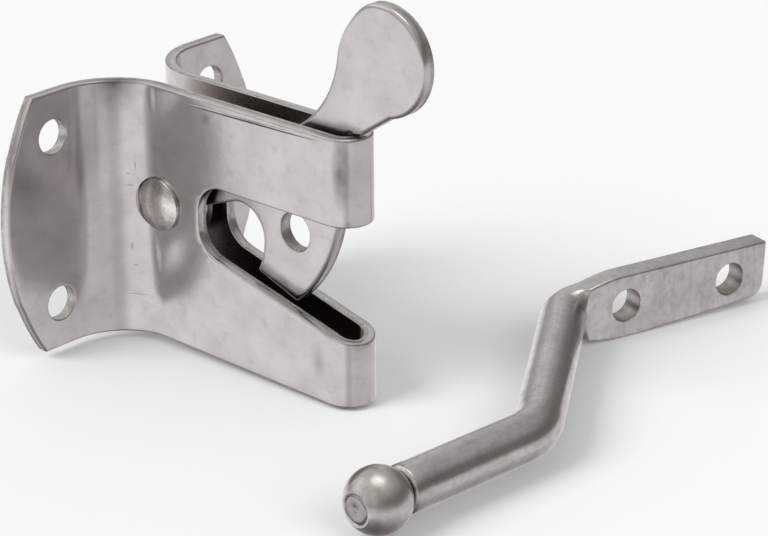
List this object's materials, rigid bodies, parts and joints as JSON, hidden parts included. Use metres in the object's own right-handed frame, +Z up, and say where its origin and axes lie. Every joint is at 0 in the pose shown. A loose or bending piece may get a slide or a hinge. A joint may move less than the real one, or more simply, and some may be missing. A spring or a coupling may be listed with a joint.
{
  "type": "automatic gate latch",
  "caption": "Folded steel post latch with a gravity pawl in an open mouth, and a cranked striker bar with a ball end and a drilled forged flat.",
  "frame": {"origin": "centre of the four-hole screw pattern on the back face of the latch's flanges, which lies on the post", "axes": "+X out of the post towards the latch's nose, +Y along the post's face and along the striker's passage, +Z up"},
  "size_m": [0.1172, 0.1469, 0.0879],
  "materials": {
    "strap_steel": "satin",
    "pawl_steel": "satin",
    "rivet_steel": "semi-bright",
    "washer_steel": "satin",
    "zinc_bar": "satin",
    "zinc_ball": "satin"
  },
  "bodies": {
    "latch": {"latch_body": "strap_steel", "pivot_rivet": "rivet_steel", "near_washer": "washer_steel", "far_washer": "washer_steel", "striker_bar": "zinc_bar", "striker_ball": "zinc_ball"},
    "pawl": {"pawl": "pawl_steel"}
  },
  "joints": [
    {"name": "pawl_lift", "type": "hinge", "parent": "latch", "child": "pawl", "pos_m": [0.0155, 0, 0.002], "axis": [0, -1, 0], "range_deg": [0, 54]}
  ]
}
